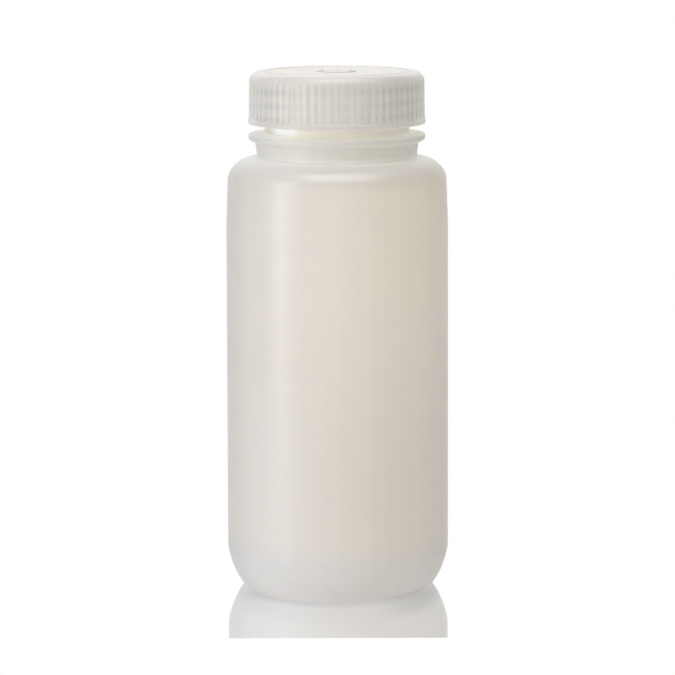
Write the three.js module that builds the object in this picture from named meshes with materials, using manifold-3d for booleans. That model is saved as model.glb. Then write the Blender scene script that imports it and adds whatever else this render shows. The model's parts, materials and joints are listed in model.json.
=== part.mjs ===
// Wide-mouth laboratory reagent bottle, 500 mL class, with a one-piece screw closure and a sealing disc.
// Millimetres, +Z up. The origin is the centre of the base, on the plane that the bottle stands on.
import * as THREE from 'three';
import * as BufferGeometryUtils from 'three/addons/utils/BufferGeometryUtils.js';
import Module from 'manifold-3d';

const wasm = await Module();
wasm.setup();

// ---- Driving dimensions -------------------------------------------------------------------------

// Body and base of the bottle
const BODY_RADIUS = 36.5; // above the base corner
const BODY_RADIUS_TOP = 36.2; // below the shoulder: the body has a little draft
const BODY_WALL = 1.3;
const BASE_THICKNESS = 2.0;
const BASE_RING_INNER = 28.6; // the flat ring that the bottle stands on
const BASE_RING_OUTER = 30.2;
const PUSH_UP = 2.4; // height of the hollow under the base
const BASE_CORNER_HEIGHT = 13.6;
const BASE_CORNER_POWER = 1.45; // superellipse power: 2 is an ellipse, less is flatter

// Shoulder and neck
const SHOULDER_TOP = 142.3; // where the shoulder meets the neck
const SHOULDER_DROP = 8.0; // height of the rounded part of the shoulder
const SHOULDER_POWER = 2.15;
const SHOULDER_RADIUS = 35.65; // where the rounded part ends
const SHOULDER_BLEND_END = 120.0; // where the shoulder has grown to the body's radius
const NECK_RADIUS_LOW = 25.95;
const NECK_RADIUS_HIGH = 26.5;
const NECK_WALL = 2.0;

// Bead round the neck: a flat top, an upright rim and a sloping underside
const BEAD_BOTTOM = 147.1;
const BEAD_TOP = 150.4;
const BEAD_RADIUS = 28.7;
const BEAD_SLOPE = 1.5; // height of the sloping underside
const BEAD_EDGE = 0.5; // size of the chamfer between rim and top

// Threaded finish above the bead
const RIM_HEIGHT = 167.0;
const FINISH_RADIUS = 24.9; // root of the bottle's thread
const BORE_RADIUS = 21.5;
const RIM_ROUND = 0.7;

// Both threads: right-handed, single start
const THREAD_PITCH = 25.4 / 6; // six turns to the inch
const THREAD_START_ANGLE = Math.PI; // both start on the -X side
const THREAD_FADE = Math.PI / 6; // each end of a ridge dies away over this angle
const THREAD_BITE = 0.5; // how deep a ridge's root is sunk into its wall
const THREAD_END_SINK = 0.05; // how far a faded end lies under the wall's surface
const THREAD_STEPS_PER_TURN = 32;

const NECK_THREAD = {
  depth: 1.1,
  rootWidth: 2.0,
  crestWidth: 0.9,
  start: 156.3, // height of the ridge's centre where it starts
  turns: 2,
};

// Tightening pulls the closure's ridge up against the lower flank of the bottle's ridge, so it runs
// this far below it.
const THREAD_OFFSET = 1.75;
const CLOSURE_THREAD = {
  depth: 1.1,
  rootWidth: 1.7,
  crestWidth: 0.8,
  start: NECK_THREAD.start - THREAD_OFFSET,
  turns: 2.2,
};

// Closure
const CLOSURE_TOP = 170.0;
const CLOSURE_RADIUS_TOP = 28.45;
const CLOSURE_RADIUS_BOTTOM = 28.6;
const CLOSURE_CORNER_WIDTH = 2.2;
const CLOSURE_CORNER_HEIGHT = 2.6;
const CLOSURE_CORNER_POWER = 1.5;
const CLOSURE_PLATE = 2.0; // thickness of the top
const CLOSURE_BORE = 26.4; // root of the closure's thread
const BORE_CHAMFER = 0.6;
const LIP_BOTTOM = 153.3; // the plain lip under the grip ribs
const LIP_TOP = 154.8;
const LIP_RADIUS = 28.85;
const LIP_EDGE = 0.3;
const RIB_COUNT = 72;
const RIB_DEPTH = 0.45;
const RIB_BOTTOM = 155.1;
const RIB_TOP = 169.2;

// A plain raised ring and a plain raised disc on the closure's top
const TOP_RING_INNER = 22.9;
const TOP_RING_OUTER = 23.9;
const TOP_DISC_RADIUS = 6.4;
const TOP_RELIEF = 0.35;

// Sealing disc
const LINER_RADIUS = 25.8;
const LINER_GAP = 0.05; // to the rim below it, and to the closure's top above it
const LINER_EDGE = 0.2;

// Facets round each piece. One closure facet to a rib keeps every rib alike.
const BOTTLE_SEGMENTS = 60;
const CLOSURE_SEGMENTS = RIB_COUNT;

// ---- Solids -------------------------------------------------------------------------------------

const point = (radius, height) => new THREE.Vector2(radius, height);

/**
 * A quarter of a superellipse round the centre (r, z), from its outermost point to its highest one, or
 * to its lowest one if halfHeight is negative.
 */
function quarterCurve(r, z, halfWidth, halfHeight, power, steps) {
  const points = [];
  for (let i = 0; i <= steps; i++) {
    const angle = ((i / steps) * Math.PI) / 2;
    const across = halfWidth * Math.pow(Math.cos(angle), 2 / power);
    const up = halfHeight * Math.pow(Math.sin(angle), 2 / power);
    points.push(point(r + across, z + up));
  }
  return points;
}

/** A manifold-3d solid from a closed three.js geometry. */
function toSolid(geometry) {
  geometry.deleteAttribute('normal');
  geometry.deleteAttribute('uv');
  const merged = BufferGeometryUtils.mergeVertices(geometry, 1e-4);
  const triangles = [];
  const index = merged.index.array;
  for (let i = 0; i < index.length; i += 3) {
    const [a, b, c] = [index[i], index[i + 1], index[i + 2]];
    if (a !== b && b !== c && c !== a) {
      triangles.push(a, b, c);
    }
  }
  const mesh = new wasm.Mesh({
    numProp: 3,
    vertProperties: new Float32Array(merged.attributes.position.array),
    triVerts: new Uint32Array(triangles),
  });
  return new wasm.Manifold(mesh);
}

/** A three.js geometry from a manifold-3d solid. */
function toGeometry(solid) {
  const mesh = solid.getMesh();
  const geometry = new THREE.BufferGeometry();
  geometry.setAttribute('position', new THREE.BufferAttribute(mesh.vertProperties, 3));
  geometry.setIndex(new THREE.BufferAttribute(mesh.triVerts, 1));
  geometry.computeVertexNormals();
  return geometry;
}

/** A solid of revolution round Z from an outline of (radius, height) points. */
function latheSolid(outline, segments) {
  const geometry = new THREE.LatheGeometry(outline, segments);
  geometry.rotateX(Math.PI / 2);
  return toSolid(geometry);
}

/**
 * One helical ridge, made as a straight bar of trapezium section and bent round Z. side is +1 for a
 * ridge that stands outwards from rootRadius, and -1 for one that stands inwards. The ridge climbs as
 * it goes counter-clockwise, seen from above.
 */
function helicalRidge(thread, rootRadius, side) {
  const sweep = thread.turns * 2 * Math.PI;
  const section = new THREE.Shape([
    point(-THREAD_BITE, -thread.rootWidth / 2),
    point(0, -thread.rootWidth / 2),
    point(thread.depth, -thread.crestWidth / 2),
    point(thread.depth, thread.crestWidth / 2),
    point(0, thread.rootWidth / 2),
    point(-THREAD_BITE, thread.rootWidth / 2),
  ]);
  const geometry = new THREE.ExtrudeGeometry(section, {
    depth: sweep,
    steps: Math.round(thread.turns * THREAD_STEPS_PER_TURN),
    bevelEnabled: false,
  });
  const position = geometry.attributes.position;
  for (let i = 0; i < position.count; i++) {
    // An outward ridge is swept backwards, so that its faces still point out after the bend.
    const angle = side > 0 ? sweep - position.getZ(i) : position.getZ(i);
    const fade = Math.min(1, angle / THREAD_FADE, (sweep - angle) / THREAD_FADE);
    const full = position.getX(i);
    const height = full > 0 ? full * fade - THREAD_END_SINK * (1 - fade) : full;
    const radius = rootRadius + side * height;
    const heading = THREAD_START_ANGLE + angle;
    const z = thread.start + position.getY(i) + (THREAD_PITCH * angle) / (2 * Math.PI);
    position.setXYZ(i, radius * Math.cos(heading), radius * Math.sin(heading), z);
  }
  return toSolid(geometry);
}

// ---- Bottle -------------------------------------------------------------------------------------

/** Outline of the bead, from its underside to its top. */
function beadOutline() {
  return [
    point(NECK_RADIUS_HIGH, BEAD_BOTTOM),
    point(BEAD_RADIUS, BEAD_BOTTOM + BEAD_SLOPE),
    point(BEAD_RADIUS, BEAD_TOP - BEAD_EDGE),
    point(BEAD_RADIUS - BEAD_EDGE, BEAD_TOP),
  ];
}

/** The hollow under the base at the height offset, from the axis outwards. */
function pushUpOutline(offset) {
  return [
    point(0, offset + PUSH_UP),
    point(0.75 * BASE_RING_INNER, offset + 0.75 * PUSH_UP),
  ];
}

/** Outside of the bottle, from the axis under the base to the rim. */
function bottleOutside() {
  const baseCorner = quarterCurve(
    BASE_RING_OUTER, BASE_CORNER_HEIGHT,
    BODY_RADIUS - BASE_RING_OUTER, -BASE_CORNER_HEIGHT, BASE_CORNER_POWER, 6,
  );
  const shoulder = quarterCurve(
    NECK_RADIUS_LOW, SHOULDER_TOP - SHOULDER_DROP,
    SHOULDER_RADIUS - NECK_RADIUS_LOW, SHOULDER_DROP, SHOULDER_POWER, 6,
  );
  return [
    ...pushUpOutline(0),
    point(0.97 * BASE_RING_INNER, 0.25 * PUSH_UP),
    point(BASE_RING_INNER, 0),
    ...baseCorner.reverse(),
    point(BODY_RADIUS_TOP, SHOULDER_BLEND_END),
    ...shoulder,
    ...beadOutline(),
    point(FINISH_RADIUS, BEAD_TOP),
    point(FINISH_RADIUS, RIM_HEIGHT - RIM_ROUND),
    point(FINISH_RADIUS - RIM_ROUND, RIM_HEIGHT),
  ];
}

/** Inside of the bottle, from the rim down to the axis above the base. */
function bottleInside() {
  const neckInside = NECK_RADIUS_LOW - NECK_WALL;
  const shoulder = quarterCurve(
    neckInside, SHOULDER_TOP - SHOULDER_DROP - BODY_WALL,
    SHOULDER_RADIUS - BODY_WALL - neckInside, SHOULDER_DROP, SHOULDER_POWER, 4,
  );
  const bodyInside = BODY_RADIUS - BODY_WALL;
  const ringInside = BASE_RING_OUTER - BODY_WALL;
  const baseCorner = quarterCurve(
    ringInside, BASE_CORNER_HEIGHT,
    bodyInside - ringInside, BASE_THICKNESS - BASE_CORNER_HEIGHT, BASE_CORNER_POWER, 4,
  );
  return [
    point(BORE_RADIUS + RIM_ROUND, RIM_HEIGHT),
    point(BORE_RADIUS, RIM_HEIGHT - RIM_ROUND),
    point(BORE_RADIUS, BEAD_TOP),
    point(NECK_RADIUS_HIGH - NECK_WALL, BEAD_BOTTOM),
    ...shoulder.reverse(),
    point(BODY_RADIUS_TOP - BODY_WALL, SHOULDER_BLEND_END),
    ...baseCorner,
    ...pushUpOutline(BASE_THICKNESS).reverse(),
  ];
}

function bottleGeometry() {
  const shell = latheSolid([...bottleOutside(), ...bottleInside()], BOTTLE_SEGMENTS);
  return toGeometry(shell.add(helicalRidge(NECK_THREAD, FINISH_RADIUS, 1)));
}

// ---- Closure ------------------------------------------------------------------------------------

/** Outline of the closure: up the bore's wall, under the lip, up the skirt and over the top. */
function closureOutline() {
  const underside = CLOSURE_TOP - CLOSURE_PLATE;
  const raised = CLOSURE_TOP + TOP_RELIEF;
  const corner = quarterCurve(
    CLOSURE_RADIUS_TOP - CLOSURE_CORNER_WIDTH, CLOSURE_TOP - CLOSURE_CORNER_HEIGHT,
    CLOSURE_CORNER_WIDTH, CLOSURE_CORNER_HEIGHT, CLOSURE_CORNER_POWER, 4,
  );
  return [
    point(0, underside),
    point(CLOSURE_BORE, underside),
    point(CLOSURE_BORE, LIP_BOTTOM + BORE_CHAMFER),
    point(CLOSURE_BORE + BORE_CHAMFER, LIP_BOTTOM),
    point(LIP_RADIUS - LIP_EDGE, LIP_BOTTOM),
    point(LIP_RADIUS, LIP_BOTTOM + LIP_EDGE),
    point(LIP_RADIUS, LIP_TOP - LIP_EDGE),
    point(CLOSURE_RADIUS_BOTTOM, LIP_TOP),
    ...corner,
    point(TOP_RING_OUTER, CLOSURE_TOP),
    point(TOP_RING_OUTER, raised),
    point(TOP_RING_INNER, raised),
    point(TOP_RING_INNER, CLOSURE_TOP),
    point(TOP_DISC_RADIUS, CLOSURE_TOP),
    point(TOP_DISC_RADIUS, raised),
    point(0, raised),
  ];
}

/** A ring with V-shaped teeth inside: cutting it from the skirt leaves the upright grip ribs. */
function ribCutter() {
  const crestRadius = CLOSURE_RADIUS_BOTTOM + 0.25; // clear of the skirt, so a rib keeps a flat crest
  const valleyRadius = CLOSURE_RADIUS_BOTTOM - RIB_DEPTH;
  const teeth = [];
  for (let i = 0; i < 2 * RIB_COUNT; i++) {
    const angle = (i * Math.PI) / RIB_COUNT;
    const radius = i % 2 ? valleyRadius : crestRadius;
    teeth.push(point(radius * Math.cos(angle), radius * Math.sin(angle)));
  }
  const ring = new THREE.Shape();
  ring.absarc(0, 0, CLOSURE_RADIUS_BOTTOM + 3, 0, 2 * Math.PI);
  ring.holes.push(new THREE.Path(teeth));
  const geometry = new THREE.ExtrudeGeometry(ring, {
    depth: RIB_TOP - RIB_BOTTOM,
    bevelEnabled: false,
    curveSegments: 36,
  });
  geometry.translate(0, 0, RIB_BOTTOM);
  return toSolid(geometry);
}

function closureGeometry() {
  const shell = latheSolid(closureOutline(), CLOSURE_SEGMENTS);
  const ridge = helicalRidge(CLOSURE_THREAD, CLOSURE_BORE, -1);
  return toGeometry(shell.subtract(ribCutter()).add(ridge));
}

// ---- Sealing disc -------------------------------------------------------------------------------

function linerGeometry() {
  const bottom = RIM_HEIGHT + LINER_GAP;
  const top = CLOSURE_TOP - CLOSURE_PLATE - LINER_GAP;
  const outline = [
    point(0, bottom),
    point(LINER_RADIUS - LINER_EDGE, bottom),
    point(LINER_RADIUS, bottom + LINER_EDGE),
    point(LINER_RADIUS, top - LINER_EDGE),
    point(LINER_RADIUS - LINER_EDGE, top),
    point(0, top),
  ];
  return toGeometry(latheSolid(outline, BOTTLE_SEGMENTS));
}

// ---- Assembly -----------------------------------------------------------------------------------

function piece(name, geometry, color, roughness) {
  const material = new THREE.MeshStandardMaterial({ color, roughness, metalness: 0 });
  const mesh = new THREE.Mesh(geometry, material);
  mesh.name = name;
  return mesh;
}

const reagentBottle = new THREE.Group();
reagentBottle.add(
  piece('bottle', bottleGeometry(), 0xdcd8cf, 0.45),
  piece('closure', closureGeometry(), 0xd6d2cb, 0.4),
  piece('closure_liner', linerGeometry(), 0xf2f1ee, 0.7),
);

export default reagentBottle;
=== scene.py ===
"""Looks of a wide-mouth plastic reagent bottle with a ribbed screw closure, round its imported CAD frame."""
import json
import math

import bpy
from mathutils import Matrix, Vector, noise


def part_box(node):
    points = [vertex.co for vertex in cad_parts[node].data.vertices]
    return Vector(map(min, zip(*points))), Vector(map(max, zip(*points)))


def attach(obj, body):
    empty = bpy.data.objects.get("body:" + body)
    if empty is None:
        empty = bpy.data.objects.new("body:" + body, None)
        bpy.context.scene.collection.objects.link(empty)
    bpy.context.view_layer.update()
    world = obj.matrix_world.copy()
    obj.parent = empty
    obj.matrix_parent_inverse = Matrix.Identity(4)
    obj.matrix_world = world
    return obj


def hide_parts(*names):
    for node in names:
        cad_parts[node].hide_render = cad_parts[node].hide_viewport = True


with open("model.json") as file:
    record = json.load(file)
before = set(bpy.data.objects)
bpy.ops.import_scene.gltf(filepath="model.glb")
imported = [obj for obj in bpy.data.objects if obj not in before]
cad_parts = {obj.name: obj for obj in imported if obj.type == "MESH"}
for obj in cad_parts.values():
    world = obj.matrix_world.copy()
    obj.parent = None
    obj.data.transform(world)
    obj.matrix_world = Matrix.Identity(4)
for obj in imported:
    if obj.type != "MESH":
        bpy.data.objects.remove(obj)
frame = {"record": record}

MM = 0.001
TURN = 2 * math.pi
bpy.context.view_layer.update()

# ---- Sizes in millimetres: outer ones from the frame, the rest from the shape of each moulding -------

bottle_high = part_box("bottle")[1]
closure_low, closure_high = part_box("closure")
liner_low, liner_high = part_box("closure_liner")
coupling = frame["record"]["behaviour"]["couplings"][0]

BODY_RADIUS = bottle_high.x / MM
RIM_HEIGHT = bottle_high.z / MM
LIP_RADIUS = closure_high.x / MM
LIP_BOTTOM = closure_low.z / MM
RELIEF_TOP = closure_high.z / MM
LINER_RADIUS = liner_high.x / MM
LINER_BOTTOM = liner_low.z / MM
LINER_TOP = liner_high.z / MM
THREAD_PITCH = coupling["ratio"] * TURN / MM

# Body and base
BODY_RADIUS_TOP = BODY_RADIUS - 0.3
BODY_WALL = 1.3
BASE_THICKNESS = 2.0
BASE_RING_INNER = 28.6
BASE_RING_OUTER = 30.2
BASE_RING_EDGE = 0.8
BASE_CORNER_HEIGHT = 13.6
BASE_CORNER_POWER = 1.45

# The hollow under the base, with outline points closer together where it curves more
PUSH_UP = 2.4
PUSH_UP_POWER = 3.2
PUSH_UP_RADII = (0, 3, 6, 9, 12, 15, 17, 19, 21, 23, 24.5, 26, 27, 27.8)

# Shoulder and neck
SHOULDER_TOP = 142.3
SHOULDER_DROP = 8.0
SHOULDER_POWER = 2.15
SHOULDER_RADIUS = BODY_RADIUS - 0.85
SHOULDER_BLEND_END = 120.0
SHOULDER_BLEND_RADIUS = 9.0
NECK_RADIUS_LOW = 25.95
NECK_RADIUS_HIGH = 26.5
NECK_WALL = 2.0
NECK_FILLET = 2.2

# Bead, the groove over it, and the threaded finish
BEAD_BOTTOM = 147.1
BEAD_UNDERSIDE_TOP = BEAD_BOTTOM + 1.1
BEAD_EDGE = 149.9
BEAD_TOP = 150.4
BEAD_RADIUS = 28.7
BEAD_DRAFT = 0.1
GROOVE_RADIUS = 23.6
GROOVE_TOP = 152.6
FINISH_RADIUS = 24.9
BEAD_SLOPE_RADIUS = FINISH_RADIUS + 0.6
FINISH_LOW = BEAD_TOP + 3.2
FINISH_HIGH = RIM_HEIGHT - 0.8
BORE_RADIUS = 21.5
THREAD_DEPTH = 1.1
THREAD_TURNS = 2.0
THREAD_START = 156.3
THREAD_ROOT = 2.0
THREAD_CREST = 0.9
THREAD_FADE = math.pi / 6

# Marks of moulding on the bottle. Going out from its middle, a seam falls between the two ends of its edge.
PINCH_LENGTH = 17.0
PINCH_FADE = 2.0
PINCH_HEIGHT = 0.3
PINCH_EDGE = (0.2, 0.7)
PARTING_HEIGHT = 0.07
PARTING_EDGE = (0.1, 0.6)
WALL_WAVE = 0.05
WAVES_AROUND = 1.6
WAVES_ALONG = 0.03
WAVE_RISE = (2, 12)
WAVE_FALL = (130, 141)
WAVE_TOP = SHOULDER_TOP - 1.0

# Where the marks are: on the body past one radius, and from one height up past another radius
MARKS_BOTTOM = 1.0
MARKS_TOP = BEAD_TOP - 0.2
MARKS_RADIUS = BODY_RADIUS - BODY_WALL + 0.4
MARKS_SHOULDER_BOTTOM = 134.0
MARKS_SHOULDER_RADIUS = NECK_RADIUS_LOW + 0.05

# Closure
CLOSURE_THREAD_START = THREAD_START - 1.75
CLOSURE_THREAD_TURNS = 2.2
CLOSURE_THREAD_ROOT = 1.7
CLOSURE_THREAD_CREST = 0.8
TOP_RELIEF = 0.35
CLOSURE_TOP = RELIEF_TOP - TOP_RELIEF
CLOSURE_PLATE = 2.0
CLOSURE_UNDERSIDE = CLOSURE_TOP - CLOSURE_PLATE
CLOSURE_RADIUS_TOP = LIP_RADIUS - 0.4
CLOSURE_RADIUS_BOTTOM = LIP_RADIUS - 0.25
CLOSURE_CORNER_WIDTH = 2.2
CLOSURE_CORNER_HEIGHT = 2.6
CLOSURE_CORNER_POWER = 1.5
CLOSURE_BORE = 26.4
LIP_TOP = 154.8
LIP_CHAMFER = 0.3
RIB_COUNT = 72
RIB_DEPTH = 0.16
RIB_SHARPNESS = 2.2
RIB_BOTTOM = 155.0
RIB_TOP = 169.5
RIB_FADE_LOW = 0.7
RIB_FADE_HIGH = 1.6
TOP_RING_INNER = 22.9
TOP_RING_OUTER = 23.9
TOP_DISC_RADIUS = 6.4
TOP_GROOVE_OUTER = 5.2
TOP_GROOVE_INNER = 4.4
TOP_DRAFT = 0.05
GATE_RADIUS = 1.3
GATE_DRAFT = 0.2

# Fineness of the meshes: columns round the axis, points on a quarter curve, longest step of an outline.
# A point is on a wall when it is near its radius.
BOTTLE_COLUMNS = 360
CLOSURE_COLUMNS = 10 * RIB_COUNT
LINER_COLUMNS = 180
OUTSIDE_CURVE_POINTS = 30
INSIDE_CURVE_POINTS = 18
CLOSURE_CURVE_POINTS = 16
PLAIN_STEP = 3.0
SKIRT_STEP = 0.35
BORE_STEP = 0.2
THREAD_STEP = 0.18
NEAR = 0.01
REACH_LIMIT = 0.49


# ---- Outlines ----------------------------------------------------------------------------------------

def smoothstep(low, high, value):
    share = min(1.0, max(0.0, (value - low) / (high - low)))
    return share * share * (3 - 2 * share)


def quarter_curve(r, z, half_width, half_height, power, steps):
    """A quarter of a superellipse round the centre (r, z), from its outermost point to its top or bottom."""
    points = []
    for i in range(steps + 1):
        angle = i / steps * math.pi / 2
        across = half_width * math.cos(angle) ** (2 / power) if i < steps else 0.0
        up = half_height * math.sin(angle) ** (2 / power)
        points.append((r + across, z + up))
    return points


def rounded(corners, steps=5):
    """A polyline of (r, z, radius) corners, each rounded off by its own radius. A rounding reaches at most
    REACH_LIMIT of the way to the next corner, so that two never meet."""
    points = []
    for i, (r, z, radius) in enumerate(corners):
        here = Vector((r, z))
        if radius == 0 or i in (0, len(corners) - 1):
            points.append((r, z))
            continue
        back = Vector(corners[i - 1][:2]) - here
        ahead = Vector(corners[i + 1][:2]) - here
        half = back.angle(ahead) / 2
        reach = min(radius / math.tan(half), REACH_LIMIT * min(back.length, ahead.length))
        radius = reach * math.tan(half)
        start = here + back.normalized() * reach
        end = here + ahead.normalized() * reach
        centre = here + (back.normalized() + ahead.normalized()).normalized() * radius / math.sin(half)
        for k in range(steps + 1):
            arm = (start - centre).lerp(end - centre, k / steps)
            spot = centre + arm.normalized() * radius
            points.append((spot.x, spot.y))
    return points


def subdivided(points, step):
    """The same outline with no stretch longer than step."""
    fine = [points[0]]
    for (r0, z0), (r1, z1) in zip(points, points[1:]):
        count = max(1, math.ceil(math.hypot(r1 - r0, z1 - z0) / step))
        for k in range(1, count + 1):
            share = k / count
            fine.append((r0 + (r1 - r0) * share, z0 + (z1 - z0) * share))
    return fine


# ---- Mesh building -----------------------------------------------------------------------------------

def new_piece(name, vertices, faces):
    mesh = bpy.data.meshes.new(name)
    mesh.from_pydata([Vector(v) * MM for v in vertices], [], faces)
    mesh.validate()
    mesh.polygons.foreach_set("use_smooth", [True] * len(mesh.polygons))
    mesh.update()
    piece = bpy.data.objects.new(name, mesh)
    bpy.context.scene.collection.objects.link(piece)
    return piece


def revolved(name, outline, columns, relief):
    """A closed surface of revolution. Its outline runs from axis to axis, and relief(angle, r, z) gives how
    far each point moves outwards and upwards."""
    vertices = []
    rows = []
    for r, z in outline:
        if r < 1e-6:
            rows.append([len(vertices)] * columns)
            vertices.append((0, 0, z + relief(0.0, 0.0, z)[1]))
            continue
        rows.append(range(len(vertices), len(vertices) + columns))
        for j in range(columns):
            angle = TURN * j / columns
            out, up = relief(angle, r, z)
            vertices.append(((r + out) * math.cos(angle), (r + out) * math.sin(angle), z + up))
    faces = []
    for low, high in zip(rows, rows[1:]):
        for j in range(columns):
            k = (j + 1) % columns
            faces.append(list(dict.fromkeys((low[j], low[k], high[k], high[j]))))
    return new_piece(name, vertices, faces)


def ridge_height(angle, z, start, turns, root_width, crest_width):
    """Height of a right-hand helical ridge at a point of its wall. The ridge starts on the -X side."""
    along = (angle - math.pi) % TURN
    best = 0.0
    while along <= turns * TURN:
        centre = start + THREAD_PITCH * along / TURN
        fade = min(1.0, along / THREAD_FADE, (turns * TURN - along) / THREAD_FADE)
        flank = 1 - smoothstep(crest_width / 2, root_width / 2, abs(z - centre))
        best = max(best, THREAD_DEPTH * flank * smoothstep(0, 1, fade))
        along += TURN
    return best


# ---- Bottle ------------------------------------------------------------------------------------------

def base_outline():
    """The hollow under the base, from the axis out to the foot of the standing ring."""
    return [(r, PUSH_UP * (1 - (r / BASE_RING_INNER) ** PUSH_UP_POWER)) for r in PUSH_UP_RADII]


def outside_outline(hollow):
    """From the standing ring up the body and over the shoulder and bead, to the mouth of the finish."""
    ring = rounded([(*hollow[-1], 0), (BASE_RING_INNER, 0, BASE_RING_EDGE), (BASE_RING_OUTER, 0, 0)])
    corner = quarter_curve(
        BASE_RING_OUTER, BASE_CORNER_HEIGHT,
        BODY_RADIUS - BASE_RING_OUTER, -BASE_CORNER_HEIGHT, BASE_CORNER_POWER, OUTSIDE_CURVE_POINTS,
    )
    shoulder = quarter_curve(
        NECK_RADIUS_LOW, SHOULDER_TOP - SHOULDER_DROP,
        SHOULDER_RADIUS - NECK_RADIUS_LOW, SHOULDER_DROP, SHOULDER_POWER, OUTSIDE_CURVE_POINTS,
    )
    side = subdivided([corner[0], (BODY_RADIUS_TOP, SHOULDER_BLEND_END)], PLAIN_STEP)
    blend = rounded([side[-2] + (0,), side[-1] + (SHOULDER_BLEND_RADIUS,), shoulder[0] + (0,)])
    neck = rounded([
        (*shoulder[-4], 0),
        (NECK_RADIUS_LOW, SHOULDER_TOP, NECK_FILLET),
        (NECK_RADIUS_HIGH, BEAD_BOTTOM, 0.6),
        (BEAD_RADIUS - BEAD_DRAFT, BEAD_UNDERSIDE_TOP, 0.6),
        (BEAD_RADIUS, BEAD_EDGE, 0.35),
        (BEAD_SLOPE_RADIUS, BEAD_TOP, 1.0),
        (GROOVE_RADIUS, BEAD_TOP, 0.5),
        (GROOVE_RADIUS, GROOVE_TOP, 0.3),
        (FINISH_RADIUS, FINISH_LOW, 0),
    ])
    thread = subdivided([(FINISH_RADIUS, FINISH_LOW), (FINISH_RADIUS, FINISH_HIGH)], THREAD_STEP)
    return ring[1:] + corner[::-1][1:] + side[1:-2] + blend + shoulder[1:-4] + neck + thread[1:]


def inside_outline(hollow):
    """From the finish over the rim, down the bore and the body's inside wall, and back to the axis."""
    rim = rounded([
        (FINISH_RADIUS, FINISH_HIGH, 0),
        (FINISH_RADIUS, RIM_HEIGHT, 0.6),
        (BORE_RADIUS, RIM_HEIGHT, 0.7),
        (BORE_RADIUS, BEAD_TOP, 1.5),
        (NECK_RADIUS_HIGH - NECK_WALL, BEAD_BOTTOM, 1.5),
        (NECK_RADIUS_LOW - NECK_WALL, SHOULDER_TOP - 1.0, 1.2),
    ])
    shoulder = quarter_curve(
        NECK_RADIUS_LOW - NECK_WALL, SHOULDER_TOP - SHOULDER_DROP - BODY_WALL,
        SHOULDER_RADIUS - BODY_WALL - NECK_RADIUS_LOW + NECK_WALL, SHOULDER_DROP, SHOULDER_POWER,
        INSIDE_CURVE_POINTS,
    )
    body_inside = BODY_RADIUS - BODY_WALL
    ring_inside = BASE_RING_OUTER - BODY_WALL
    corner = quarter_curve(
        ring_inside, BASE_CORNER_HEIGHT,
        body_inside - ring_inside, BASE_THICKNESS - BASE_CORNER_HEIGHT, BASE_CORNER_POWER,
        INSIDE_CURVE_POINTS,
    )
    cavity_floor = [(r, z + BASE_THICKNESS) for r, z in reversed(hollow)]
    body_top = (BODY_RADIUS_TOP - BODY_WALL, SHOULDER_BLEND_END)
    return rim[1:-1] + shoulder[::-1][1:] + [body_top] + corner + cavity_floor


def bottle_outline():
    hollow = base_outline()
    return hollow + outside_outline(hollow) + inside_outline(hollow)


def bottle_relief(angle, r, z):
    """Thread, mould parting lines, the pinched seam under the base, and the slight waves of a blown wall."""
    if abs(r - FINISH_RADIUS) < NEAR and FINISH_LOW <= z <= FINISH_HIGH:
        return ridge_height(angle, z, THREAD_START, THREAD_TURNS, THREAD_ROOT, THREAD_CREST), 0.0
    across = abs(math.sin(angle)) * r
    if z <= PUSH_UP and r < BASE_RING_INNER:
        inside_end = 1 - smoothstep(PINCH_LENGTH - PINCH_FADE, PINCH_LENGTH, r)
        return 0.0, -PINCH_HEIGHT * (1 - smoothstep(*PINCH_EDGE, across)) * inside_end
    marked = r > MARKS_RADIUS or (z > MARKS_SHOULDER_BOTTOM and r > MARKS_SHOULDER_RADIUS)
    if not marked or z <= MARKS_BOTTOM or z > MARKS_TOP:
        return 0.0, 0.0
    parting = PARTING_HEIGHT * (1 - smoothstep(*PARTING_EDGE, across))
    wave = 0.0
    if z < WAVE_TOP:
        spot = Vector((math.cos(angle) * WAVES_AROUND, math.sin(angle) * WAVES_AROUND, z * WAVES_ALONG))
        wave = WALL_WAVE * noise.noise(spot) * smoothstep(*WAVE_RISE, z) * (1 - smoothstep(*WAVE_FALL, z))
    return parting + wave, 0.0


# ---- Closure -----------------------------------------------------------------------------------------

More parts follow.
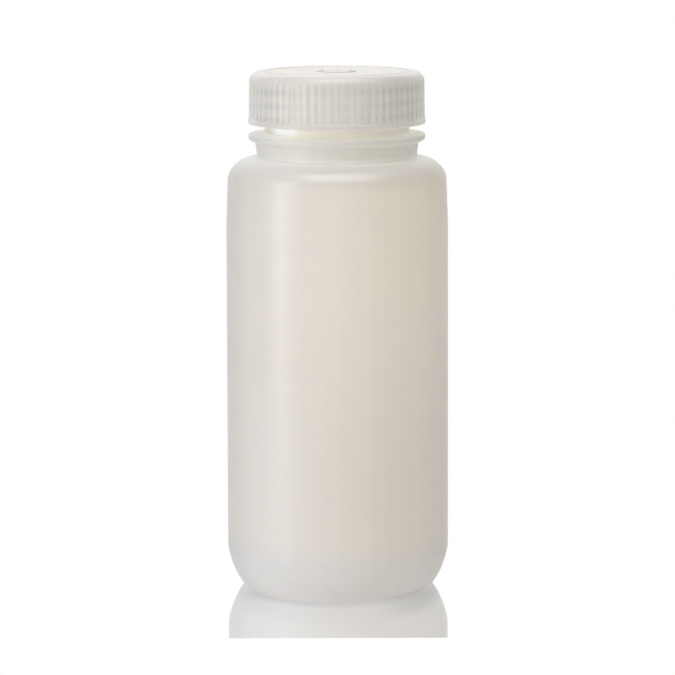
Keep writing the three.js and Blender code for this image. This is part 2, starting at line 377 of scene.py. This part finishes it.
def closure_outline():
    """From the axis under the top plate, down the bore, round the lip, up the skirt and back over the top."""
    lip = rounded([
        (CLOSURE_BORE + LIP_CHAMFER, LIP_BOTTOM + LIP_CHAMFER, 0),
        (CLOSURE_BORE + 2 * LIP_CHAMFER, LIP_BOTTOM, 0.15),
        (LIP_RADIUS, LIP_BOTTOM, 0.35),
        (LIP_RADIUS, LIP_TOP, 0.3),
        (CLOSURE_RADIUS_BOTTOM, LIP_TOP + 0.15, 0.1),
        (CLOSURE_RADIUS_BOTTOM, LIP_TOP + 0.4, 0),
    ])
    corner = quarter_curve(
        CLOSURE_RADIUS_TOP - CLOSURE_CORNER_WIDTH, CLOSURE_TOP - CLOSURE_CORNER_HEIGHT,
        CLOSURE_CORNER_WIDTH, CLOSURE_CORNER_HEIGHT, CLOSURE_CORNER_POWER, CLOSURE_CURVE_POINTS,
    )
    skirt = subdivided([lip[-1], corner[0]], SKIRT_STEP)
    top = rounded([
        (*corner[-1], 0),
        (TOP_RING_OUTER, CLOSURE_TOP, 0.2),
        (TOP_RING_OUTER - TOP_DRAFT, RELIEF_TOP, 0.12),
        (TOP_RING_INNER + TOP_DRAFT, RELIEF_TOP, 0.12),
        (TOP_RING_INNER, CLOSURE_TOP, 0.2),
        (TOP_DISC_RADIUS, CLOSURE_TOP, 0.2),
        (TOP_DISC_RADIUS - TOP_DRAFT, RELIEF_TOP, 0.12),
        (TOP_GROOVE_OUTER, RELIEF_TOP, 0.12),
        (TOP_GROOVE_OUTER - TOP_DRAFT, CLOSURE_TOP, 0.12),
        (TOP_GROOVE_INNER + TOP_DRAFT, CLOSURE_TOP, 0.12),
        (TOP_GROOVE_INNER, RELIEF_TOP, 0.12),
        (GATE_RADIUS, RELIEF_TOP, 0.15),
        (GATE_RADIUS - GATE_DRAFT, CLOSURE_TOP, 0.15),
        (0, CLOSURE_TOP, 0),
    ], steps=3)
    bore = subdivided([(CLOSURE_BORE, CLOSURE_UNDERSIDE - 0.6), (CLOSURE_BORE, LIP_BOTTOM + 0.6)], BORE_STEP)
    under = rounded([(0, CLOSURE_UNDERSIDE, 0), (CLOSURE_BORE, CLOSURE_UNDERSIDE, 0.5), bore[0] + (0,)])
    return under[:-1] + bore + lip + skirt[1:] + corner[1:] + top[1:]


def closure_relief(angle, r, z):
    """The inner thread, and narrow upright grip ribs with wider valleys between them."""
    if r < CLOSURE_BORE + NEAR and z < CLOSURE_UNDERSIDE - 0.5:
        height = ridge_height(
            angle, z, CLOSURE_THREAD_START, CLOSURE_THREAD_TURNS, CLOSURE_THREAD_ROOT, CLOSURE_THREAD_CREST,
        )
        return -height, 0.0
    if r < CLOSURE_RADIUS_TOP - CLOSURE_CORNER_WIDTH + 2 * NEAR or z < RIB_BOTTOM:
        return 0.0, 0.0
    valley = 1 - abs(math.cos(RIB_COUNT * angle / 2)) ** RIB_SHARPNESS
    rise = smoothstep(RIB_BOTTOM, RIB_BOTTOM + RIB_FADE_LOW, z)
    fall = 1 - smoothstep(RIB_TOP - RIB_FADE_HIGH, RIB_TOP, z)
    return -RIB_DEPTH * valley * rise * fall, 0.0


# ---- Sealing disc ------------------------------------------------------------------------------------

def liner_outline():
    return subdivided(rounded([
        (0, LINER_BOTTOM, 0),
        (LINER_RADIUS, LINER_BOTTOM, 0.2),
        (LINER_RADIUS, LINER_TOP, 0.2),
        (0, LINER_TOP, 0),
    ]), PLAIN_STEP)


def no_relief(angle, r, z):
    return 0.0, 0.0


# ---- Materials ---------------------------------------------------------------------------------------

def grey(value):
    return (value, value, value, 1)


class Nodes:
    """A node tree, with short calls to add and join its nodes."""

    def __init__(self, owner):
        owner.use_nodes = True
        self.owner = owner
        self.tree = owner.node_tree
        self.tree.nodes.clear()

    def plug(self, value, socket):
        if isinstance(value, bpy.types.NodeSocket):
            self.tree.links.new(value, socket)
        else:
            socket.default_value = value

    def add(self, kind, settings=None, **inputs):
        """A node of this kind. An input is given by its name, with _ for a space, or as _ and its number."""
        node = self.tree.nodes.new(kind)
        for key, value in (settings or {}).items():
            setattr(node, key, value)
        for key, value in inputs.items():
            name = int(key[1:]) if key[1:].isdigit() else key.replace("_", " ")
            self.plug(value, node.inputs[name])
        return node

    def math(self, operation, a, b=0.0, c=0.0):
        return self.add("ShaderNodeMath", {"operation": operation}, _0=a, _1=b, _2=c).outputs[0]

    def product(self, first, *others):
        for other in others:
            first = self.math("MULTIPLY", first, other)
        return first

    def rest(self, share):
        return self.math("SUBTRACT", 1.0, share)

    def between(self, share, start, end):
        return self.math("MULTIPLY_ADD", share, end - start, start)

    def ramp(self, value, low, high, start=0.0, end=1.0):
        """A smooth step from start to end as value goes from low to high."""
        node = self.add(
            "ShaderNodeMapRange", {"interpolation_type": "SMOOTHSTEP"},
            Value=value, From_Min=low, From_Max=high, To_Min=start, To_Max=end,
        )
        return node.outputs[0]

    def window(self, value, rise_low, rise_high, fall_low, fall_high):
        """A smooth step up to 1 and down again."""
        rise = self.ramp(value, rise_low, rise_high)
        fall = self.ramp(value, fall_low, fall_high, 1.0, 0.0)
        return self.product(rise, fall)

    def mix(self, share, a, b, blend="MIX"):
        node = self.add("ShaderNodeMix", {"data_type": "RGBA", "blend_type": blend})
        for value, number in ((share, 0), (a, 6), (b, 7)):
            self.plug(value, node.inputs[number])
        return node.outputs[2]

    def tinted(self, share, colour, factor):
        """The colour, multiplied by a factor of its own for each channel as share goes to 1."""
        return self.mix(share, colour, self.mix(1.0, colour, factor, "MULTIPLY"))

    def as_grey(self, value):
        return self.add("ShaderNodeCombineColor", _0=value, _1=value, _2=value).outputs[0]

    def cloud(self, place, scale, detail):
        return self.add("ShaderNodeTexNoise", Vector=place, Scale=scale, Detail=detail).outputs["Fac"]

    def streaks(self, place, around, along):
        """Noise drawn out along Z: around and along are its scales across and along the piece's axis."""
        drawn = self.add("ShaderNodeMapping", Vector=place, Scale=(around, around, along)).outputs[0]
        return self.cloud(drawn, 1.0, 3.0)

    def object_place(self):
        return self.add("ShaderNodeTexCoord").outputs["Object"]

    def millimetres(self, place):
        """The x, y and z of a place, in millimetres."""
        scaled = self.add("ShaderNodeVectorMath", {"operation": "SCALE"}, _0=place, Scale=1 / MM).outputs[0]
        return self.add("ShaderNodeSeparateXYZ", Vector=scaled).outputs

    def from_axis(self, x, y):
        flat = self.add("ShaderNodeCombineXYZ", X=x, Y=y).outputs[0]
        return self.add("ShaderNodeVectorMath", {"operation": "LENGTH"}, _0=flat).outputs["Value"]

    def sideways(self):
        """0 where the surface faces the viewer, towards 1 where it is seen edge-on."""
        return self.add("ShaderNodeLayerWeight", Blend=0.5).outputs["Facing"]

    def ray(self, kind):
        return self.add("ShaderNodeLightPath").outputs[kind]

    def finish(self, shader):
        self.add("ShaderNodeOutputMaterial", Surface=shader)
        return self.owner


# Most of a noise texture's values lie in this range.
NOISE_RANGE = (0.3, 0.7)

# Spans are in millimetres along X or Z. Tints multiply the colour under them.
POLYETHYLENE_CLOUDS = 24.0
POLYETHYLENE = ((0.847, 0.801, 0.77, 1), (0.847, 0.796, 0.76, 1))

# Painted shade makes the body a little darker from the middle to the right, and painted light, standing for
# light through the wall from behind, makes it brighter again higher up and warmer at the upper right.
MIDDLE_X = (-24, 4)
MIDDLE_SHADE_TINT = (0.958, 0.955, 0.94, 1)
BODY_LIGHT_Z = (36, 108)
BODY_LIGHT_TINT = (1.127, 1.11, 1.083, 1)
WARM_X = (0, 25)
WARM_Z = (85, 118)
WARM_LIGHT_TINT = (1.012, 1.0, 0.96, 1)

# Painted shade makes the foot darker and cooler and the neck greyer and cooler, except at the right of the
# shoulder under it, which light still reaches. The lower body is cooler.
FOOT_Z = (12, 22)
FOOT_SHADE_TINT = (0.935, 0.975, 1.015, 1)
LOWER_Z = (10, 90)
LOWER_TINT = (1.0, 1.01, 1.02, 1)
NECK_Z = (134.8, 140.3)
NECK_SHADE_TINT = (0.93, 0.975, 0.985, 1)
SHOULDER_RIGHT_X = (2, 20)
SHOULDER_RIGHT_Z = (138, 141.5)
SHOULDER_RIGHT_SHARE = 0.75
# Painted light brightens the crease at the foot of the neck.
NECK_FOOT_Z = (141.6, 142.6, 142.8, 144.5)
NECK_FOOT_LIGHT_TINT = (1.09, 1.10, 1.11, 1)

# The bead: painted shade where its edge is seen edge-on, painted light on the slope over it at both sides
BEAD_Z = (BEAD_BOTTOM - 0.3, BEAD_BOTTOM + 0.3)
BEAD_SIDEWAYS = (0.5, 0.8)
BEAD_SHADE_TINT = (0.93, 0.93, 0.91, 1)
SLOPE_Z = (BEAD_EDGE - 0.15, BEAD_EDGE + 0.05)
SLOPE_FROM_MIDDLE = (18, 25)
SLOPE_LIGHT_TINT = (1.08, 1.08, 1.07, 1)

# The finish over the bead in painted shade, painted light in its inner corner, and a painted glint towards
# the left
FINISH_Z = (BEAD_TOP - 0.2, BEAD_TOP + 0.3)
FINISH_SHADE_COLOUR = (0.806, 0.783, 0.732, 1)
CORNER_LIGHT_Z = (BEAD_TOP - 0.3, BEAD_TOP, BEAD_TOP + 0.1, BEAD_TOP + 0.7)
CORNER_LIGHT_COLOUR = (0.90, 0.88, 0.835, 1)
GLINT_X = (-22, -18, -15.5, -11.5)
GLINT_COLOUR = (0.99, 0.98, 0.96, 1)

# Painted shade in the crease between the foot and its reflection, which reaches higher as the floor's mirror
# shows it
CREASE_SEEN_Z = (0.0, 3.0)
CREASE_MIRRORED_Z = (1.5, 6.5)
CREASE_RIGHT_X = (10, 30)
CREASE_LEFT_X = (-34, -14)
CREASE_LEFT_SHARE = 0.4
CREASE_SHADE_TINT = (0.70, 0.71, 0.67, 1)

# Faint upright lines drawn by blowing: their scales round and along the axis, and their depth of colour
DRAW_SCALES = (300.0, 3.0)
DRAW_DEPTH = (0.985, 1.0)


def bottle_colour(n, place):
    """Warm natural polyethylene, with painted light and shade in its colour. Painted light, standing for
    light that comes through the wall from behind, makes it brighter higher up, and painted shade, where the
    thicker wall lets less light through, makes it greyer at the foot and round the neck."""
    x, _, z = n.millimetres(place)
    colour = n.mix(n.ramp(n.cloud(place, POLYETHYLENE_CLOUDS, 2.0), *NOISE_RANGE), *POLYETHYLENE)

    middle = n.ramp(x, *MIDDLE_X)
    neck = n.ramp(z, *NECK_Z)
    body = n.rest(neck)
    right = n.product(
        n.ramp(x, *SHOULDER_RIGHT_X, 0.0, SHOULDER_RIGHT_SHARE), n.ramp(z, *SHOULDER_RIGHT_Z, 1.0, 0.0),
    )
    # Tints of painted shade and painted light on the body, the foot and the neck, and a cooler lower body
    for share, tint in (
        (middle, MIDDLE_SHADE_TINT),
        (n.product(middle, n.ramp(z, *BODY_LIGHT_Z), body), BODY_LIGHT_TINT),
        (n.product(neck, n.rest(right)), NECK_SHADE_TINT),
        (n.ramp(z, *FOOT_Z, 1.0, 0.0), FOOT_SHADE_TINT),
        (n.product(n.ramp(x, *WARM_X), n.ramp(z, *WARM_Z), body), WARM_LIGHT_TINT),
        (n.ramp(z, *LOWER_Z, 1.0, 0.0), LOWER_TINT),
        (n.window(z, *NECK_FOOT_Z), NECK_FOOT_LIGHT_TINT),
    ):
        colour = n.tinted(share, colour, tint)

    # Painted shade on the bead's edge where it is seen edge-on, painted light on the slope over it
    edge = n.product(n.ramp(z, *BEAD_Z), n.ramp(n.sideways(), *BEAD_SIDEWAYS))
    on_slope = n.ramp(z, *SLOPE_Z)
    slope = n.product(on_slope, n.ramp(n.math("ABSOLUTE", x), *SLOPE_FROM_MIDDLE))
    colour = n.tinted(n.math("MAXIMUM", edge, slope), colour, n.mix(on_slope, BEAD_SHADE_TINT, SLOPE_LIGHT_TINT))

    # The finish over the bead in painted shade, with painted light in its inner corner and a painted glint
    finish = n.mix(n.window(z, *CORNER_LIGHT_Z), FINISH_SHADE_COLOUR, CORNER_LIGHT_COLOUR)
    finish = n.mix(n.window(x, *GLINT_X), finish, GLINT_COLOUR)
    colour = n.mix(n.ramp(z, *FINISH_Z), colour, finish)

    # Painted shade at the foot's crease, reaching higher where it is seen in the floor's mirror
    mirrored = n.ray("Is Singular Ray")
    near, far = (n.between(mirrored, *ends) for ends in zip(CREASE_SEEN_Z, CREASE_MIRRORED_Z))
    side = n.math("ADD", n.ramp(x, *CREASE_RIGHT_X), n.ramp(x, *CREASE_LEFT_X, CREASE_LEFT_SHARE, 0.0))
    colour = n.tinted(n.product(n.ramp(z, near, far, 1.0, 0.0), side), colour, CREASE_SHADE_TINT)
    lines = n.ramp(n.streaks(place, *DRAW_SCALES), *NOISE_RANGE, *DRAW_DEPTH)
    return n.tinted(1.0, colour, n.as_grey(lines))


# The skirt's pattern ends at the plain lip and under the top edge. Painted shade makes the skirt greyer
# towards the top.
POLYPROPYLENE_CLOUDS = 45.0
POLYPROPYLENE = ((0.83, 0.81, 0.785, 1), (0.82, 0.80, 0.77, 1))
SKIRT_Z = (LIP_TOP - 0.8, LIP_TOP + 0.8, 165.5, 167.5)
UPPER_Z = (162, 166.5)
UPPER_SHADE_TINT = (0.95, 0.955, 0.96, 1)
LIP_TINT = (0.89, 0.895, 0.895, 1)

# Painted shade draws the threads' shadows as bands and darkens the rib valleys. A band fades between two
# distances from its middle, in thread pitches. Bands and valleys are faint where the skirt faces the viewer,
# clear beside that, and faint again where it is seen edge-on, where painted light makes it lighter.
BAND_SPAN = (0.12, 0.30)
THREAD_SHADOW_TINT = (0.92, 0.93, 0.93, 1)
VALLEY_SHADE_TINT = (0.90, 0.91, 0.91, 1)
CLEAR_RISE = (0.06, 0.30, 0.2, 1.0)
CLEAR_FALL = (0.50, 0.70, 1.0, 0.1)
EDGE_ON = (0.45, 0.7)
EDGE_ON_LIGHT_TINT = (1.21, 1.195, 1.165, 1)

# The flat top in painted light, and painted shade on the steps that outline the disc and the ring on it
PLATE_Z = (CLOSURE_TOP - 0.12, CLOSURE_TOP - 0.02)
PLATE_LIGHT_COLOUR = (0.895, 0.86, 0.83, 1)
STEP_SHADE_Z = (CLOSURE_TOP + 0.03, CLOSURE_TOP + 0.09, RELIEF_TOP - 0.09, RELIEF_TOP - 0.03)
DISC_TO_RING = (10, 18)
DISC_STEP_SHADE = (0.5, 0.51, 0.52, 1)
RING_STEP_SHADE = (0.80, 0.81, 0.82, 1)

# Fine upright lines on the skirt: their scales round and along the axis, and their depth of colour
SKIRT_LINE_SCALES = (1100.0, 30.0)
SKIRT_LINE_DEPTH = (0.955, 1.02)


def closure_colour(n, place):
    """Clearer natural polypropylene. Painted shade shows the engaged threads through the skirt as faint
    helical bands.
    """
    x, y, z = n.millimetres(place)
    sideways = n.sideways()
    colour = n.mix(n.ramp(n.cloud(place, POLYPROPYLENE_CLOUDS, 3.0), *NOISE_RANGE), *POLYPROPYLENE)

    turn = n.math("DIVIDE", n.math("ARCTAN2", y, x), TURN)
    engaged = (THREAD_START + CLOSURE_THREAD_START) / 2 - THREAD_PITCH / 2
    rise = n.math("DIVIDE", n.math("SUBTRACT", z, engaged), THREAD_PITCH)
    phase = n.math("FRACT", n.math("SUBTRACT", rise, n.math("ADD", turn, 0.5)))
    band = n.ramp(n.math("ABSOLUTE", n.math("SUBTRACT", phase, 0.5)), *BAND_SPAN, 1.0, 0.0)
    valley = n.math("MULTIPLY_ADD", n.math("COSINE", n.product(turn, TURN * RIB_COUNT)), -0.5, 0.5)
    skirt = n.window(z, *SKIRT_Z)
    clear = n.product(n.ramp(sideways, *CLEAR_RISE), n.ramp(sideways, *CLEAR_FALL), skirt)
    # Painted thread shadows and rib valley shade, painted shade towards the top, painted light edge-on, and a
    # darker lip
    for share, tint in (
        (n.product(band, clear), THREAD_SHADOW_TINT),
        (n.product(valley, clear), VALLEY_SHADE_TINT),
        (n.ramp(z, *UPPER_Z), UPPER_SHADE_TINT),
        (n.ramp(sideways, *EDGE_ON), EDGE_ON_LIGHT_TINT),
        (n.ramp(z, *SKIRT_Z[:2], 1.0, 0.0), LIP_TINT),
    ):
        colour = n.tinted(share, colour, tint)

    # The flat top in painted light
    colour = n.mix(n.ramp(z, *PLATE_Z), colour, PLATE_LIGHT_COLOUR)
    lines = n.ramp(n.streaks(place, *SKIRT_LINE_SCALES), *NOISE_RANGE, *SKIRT_LINE_DEPTH)
    colour = n.tinted(skirt, colour, n.as_grey(lines))
    # Painted shade on the steps round the disc and the ring on the top
    outline = n.mix(n.ramp(n.from_axis(x, y), *DISC_TO_RING), DISC_STEP_SHADE, RING_STEP_SHADE)
    return n.tinted(n.window(z, *STEP_SHADE_Z), colour, outline)


FOAM = ((0.86, 0.86, 0.85, 1), (0.93, 0.93, 0.92, 1))
FOAM_CELLS = 1600.0
FOAM_CELL_SPAN = (0.1, 0.7)


def foam_colour(n, place):
    """White foam, darker in the middle of each of its fine cells."""
    cells = n.add("ShaderNodeTexVoronoi", Vector=place, Scale=FOAM_CELLS).outputs["Distance"]
    return n.mix(n.ramp(cells, *FOAM_CELL_SPAN), *FOAM)


SMUDGE_SCALE = 60.0
SMUDGE_RANGE = (0.35, 0.65)
GRAIN_SCALE = 1500.0
FLOW_SCALES = (420.0, 14.0)
FLOW_SHARE = 0.6
BUMP_STRENGTH = 0.35
PLASTIC_IOR = 1.52
SCATTER_CHANNELS = (1.0, 0.86, 0.66)
SCATTER_DISTANCE = 3.5


def plastic(name, build_colour, roughness, scatter, grain_depth):
    """Waxy translucent plastic. build_colour(n, place) returns its colour, and roughness is a low and a high
    value. Its bump is a fine grain with faint flow lines, grain_depth millimetres deep."""
    n = Nodes(bpy.data.materials.new(name))
    place = n.object_place()
    polish = n.ramp(n.cloud(place, SMUDGE_SCALE, 4.0), *SMUDGE_RANGE, *roughness)
    grain = n.cloud(place, GRAIN_SCALE, 3.0)
    surface = n.math("MULTIPLY_ADD", n.streaks(place, *FLOW_SCALES), FLOW_SHARE, grain)
    depth = grain_depth * MM
    bump = n.add("ShaderNodeBump", Strength=BUMP_STRENGTH, Distance=depth, Height=surface).outputs[0]
    shader = n.add(
        "ShaderNodeBsdfPrincipled",
        Base_Color=build_colour(n, place),
        Roughness=polish,
        IOR=PLASTIC_IOR,
        Subsurface_Weight=scatter,
        Subsurface_Radius=SCATTER_CHANNELS,
        Subsurface_Scale=SCATTER_DISTANCE * MM,
        Normal=bump,
    )
    return n.finish(shader.outputs[0])


# ---- Build -------------------------------------------------------------------------------------------

bottle = revolved("bottle_moulding", bottle_outline(), BOTTLE_COLUMNS, bottle_relief)
closure = revolved("closure_moulding", closure_outline(), CLOSURE_COLUMNS, closure_relief)
liner = revolved("sealing_disc", liner_outline(), LINER_COLUMNS, no_relief)

polyethylene = plastic("natural_polyethylene", bottle_colour, (0.29, 0.34), scatter=0.85, grain_depth=0.02)
polypropylene = plastic("natural_polypropylene", closure_colour, (0.33, 0.38), scatter=0.85, grain_depth=0.01)
foam = plastic("foam_disc", foam_colour, (0.65, 0.75), scatter=0.3, grain_depth=0.04)

for piece, node, body, slot, material in (
    (bottle, "bottle", "bottle", "bottle_plastic", polyethylene),
    (closure, "closure", "closure", "closure_plastic", polypropylene),
    (liner, "closure_liner", "liner", "liner_foam", foam),
):
    piece.data.materials.append(material)
    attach(piece, body)
    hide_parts(node)


# ---- Studio, in metres -------------------------------------------------------------------------------

def linked(name, data):
    thing = bpy.data.objects.new(name, data)
    bpy.context.scene.collection.objects.link(thing)
    return thing


# The camera stands a little above the bottle and looks slightly down at it.
CAMERA_DISTANCE = 0.9504
CAMERA_HEIGHT = 0.2366
CAMERA_PITCH = math.radians(9.206)
CAMERA_ROLL = math.radians(-0.17)
CAMERA_LENS = 156.0
camera = linked("camera", bpy.data.cameras.new("camera"))
camera.data.lens = CAMERA_LENS
camera.data.sensor_width = 36
camera.matrix_world = (
    Matrix.Translation((0, -CAMERA_DISTANCE, CAMERA_HEIGHT))
    @ Matrix.Rotation(math.pi / 2 - CAMERA_PITCH, 4, "X") @ Matrix.Rotation(CAMERA_ROLL, 4, "Z")
)
bpy.context.scene.camera = camera
bpy.context.scene.view_settings.view_transform = "Standard"

# Lights, backdrop and floor turn about the upright axis with the camera, as round a turntable.
rig = linked("studio_rig", None)
follow = rig.constraints.new("LOCKED_TRACK")
follow.target = camera
follow.track_axis = "TRACK_NEGATIVE_Y"
follow.lock_axis = "LOCK_Z"

# The floor's spans are in millimetres, along Y towards the back or out from the bottle's axis.
MIRROR_EDGE = -71.8
MIRROR_SHARE = 0.74
MIRROR_SHARE_STEEP = 0.1
MIRROR_SIDEWAYS = (0.2, 0.78)
# A painted contact shadow darkens the mirror near the foot of the bottle, towards the front.
CONTACT_END = 37
CONTACT_Y = (-18, -6)
CONTACT_SHADOW_TINT = (0.80, 0.80, 0.79, 1)
FLOOR_GLOW = 0.465
FLOOR_GLOW_CONTACT = 0.36
GLOW_END = 55
FLOOR_HALF = 4.0


def floor_material():
    """A lit white sheet. The front of it, up to an edge before the bottle, is bare, and the rest is also a
    mirror, which fades where it is looked at steeply. It glows less beside the foot of the bottle."""
    n = Nodes(bpy.data.materials.new("pale_floor"))
    x, y, _ = n.millimetres(n.object_place())
    from_axis = n.from_axis(x, y)
    seen = n.ray("Is Camera Ray")
    glow = n.ramp(from_axis, BASE_RING_OUTER, GLOW_END, FLOOR_GLOW_CONTACT, FLOOR_GLOW)
    white = n.add("ShaderNodeEmission", Color=grey(1), Strength=n.math("MAXIMUM", seen, glow)).outputs[0]
    # Painted contact shadow in the mirror near the foot, towards the front
    contact = n.product(
        n.ramp(from_axis, BASE_RING_OUTER, CONTACT_END, 1.0, 0.0), n.ramp(y, *CONTACT_Y, 1.0, 0.0),
    )
    tint = n.mix(contact, grey(1), CONTACT_SHADOW_TINT)
    mirror = n.add("ShaderNodeBsdfGlossy", Color=tint, Roughness=0.0).outputs[0]
    behind_edge = n.math("GREATER_THAN", y, MIRROR_EDGE)
    strength = n.ramp(n.sideways(), *MIRROR_SIDEWAYS, MIRROR_SHARE_STEEP, MIRROR_SHARE)
    share = n.product(behind_edge, seen, strength)
    return n.finish(n.add("ShaderNodeMixShader", _0=share, _1=white, _2=mirror).outputs[0])


floor_mesh = bpy.data.meshes.new("floor")
floor_mesh.from_pydata([
    (-FLOOR_HALF, -FLOOR_HALF, 0), (FLOOR_HALF, -FLOOR_HALF, 0),
    (FLOOR_HALF, FLOOR_HALF, 0), (-FLOOR_HALF, FLOOR_HALF, 0),
], [], [(0, 1, 2, 3)])
floor_mesh.materials.append(floor_material())
floor = linked("floor", floor_mesh)
floor.parent = rig
floor.visible_glossy = False
floor.visible_shadow = False

# The world as a function of direction: x runs from the left to the right, y from the front to the back
AMBIENT = 0.2
LEFT_SOFTBOX = (1.82, 1.89, 2.0, 1)
RIGHT_SOFTBOX = (1.2, 1.15, 1.1, 1)
SIDES_X = (-0.8, 0.8)
BACKDROP_SHINE = grey(0.75)
BACKDROP_Y = (0.15, 0.65)


def studio_world():
    """Plain white where it is seen directly or in the floor. As a soft reflection it is a large softbox on
    the left, a dimmer one on the right, and the white backdrop behind."""
    world = bpy.data.worlds.new("studio")
    bpy.context.scene.world = world
    world.cycles.sampling_method = "NONE"
    n = Nodes(world)
    towards = n.add("ShaderNodeTexCoord", {"object": rig}).outputs["Object"]
    x, y, _ = n.add("ShaderNodeSeparateXYZ", Vector=towards).outputs
    sides = n.mix(n.ramp(x, *SIDES_X), LEFT_SOFTBOX, RIGHT_SOFTBOX)
    shine = n.mix(n.ramp(y, *BACKDROP_Y), sides, BACKDROP_SHINE)
    light = n.mix(n.ray("Is Glossy Ray"), grey(AMBIENT), shine)
    seen = n.math("MAXIMUM", n.ray("Is Camera Ray"), n.ray("Is Singular Ray"))
    background = n.add("ShaderNodeBackground", Color=n.mix(seen, light, grey(1)))
    n.add("ShaderNodeOutputWorld", Surface=background.outputs[0])


studio_world()


def aim(lamp, place, target):
    lamp.location = place
    lamp.rotation_mode = "QUATERNION"
    lamp.rotation_quaternion = (Vector(target) - Vector(place)).to_track_quat("-Z", "Y")
    lamp.parent = rig


def wash(name, azimuth, elevation, radiance, colour=(1, 1, 1), spread=40, shadow=False):
    """Broad light from far away. Without shadows it reaches into every gap, as it does in clear plastic."""
    data = bpy.data.lights.new(name, "SUN")
    data.angle = math.radians(spread)
    data.energy = math.pi * radiance
    data.color = colour
    data.use_shadow = shadow
    lamp = linked(name, data)
    lamp.visible_glossy = False
    a = math.radians(azimuth)
    e = math.radians(elevation)
    aim(lamp, (math.sin(a) * math.cos(e), -math.cos(a) * math.cos(e), math.sin(e)), (0, 0, 0))


def softbox(name, place, target, size, radiance):
    """A panel that only shows as a soft reflection."""
    data = bpy.data.lights.new(name, "AREA")
    data.shape = "RECTANGLE"
    data.size, data.size_y = size
    data.energy = math.pi * size[0] * size[1] * radiance
    lamp = linked(name, data)
    lamp.visible_diffuse = False
    aim(lamp, place, target)


wash("left", azimuth=-60, elevation=8, radiance=0.215, colour=(0.95, 0.99, 1.0))
wash("right", azimuth=60, elevation=8, radiance=0.035, colour=(1.0, 0.96, 0.88))
wash("back", azimuth=180, elevation=30, radiance=0.40)
wash("low", azimuth=0, elevation=-55, radiance=0.27)
wash("fill_top", azimuth=0, elevation=80, radiance=0.19)
wash("top", azimuth=0, elevation=80, radiance=0.26, spread=60, shadow=True)

# A tall strip on the left makes the long upright highlight. It is a stack of panels, dimmer towards the foot,
# and each is given by its bottom, top and radiance.
STRIP_X = -0.857
STRIP_Y = -0.515
STRIP_WIDTH = 0.28
STRIP_PANELS = {
    "crown": (0.44, 0.9, 6.0),
    "upper": (0.0, 0.44, 5.4),
    "middle": (-0.12, 0.0, 2.9),
    "lower": (-0.56, -0.12, 1.1),
}
for name, (bottom, top, radiance) in STRIP_PANELS.items():
    middle = (bottom + top) / 2
    size = (STRIP_WIDTH, top - bottom)
    softbox("strip_" + name, (STRIP_X, STRIP_Y, middle), (0, 0, middle), size, radiance)
softbox("top_panel", place=(0.02, -0.24, 0.75), target=(0, 0, 0.12), size=(0.7, 0.5), radiance=4.2)
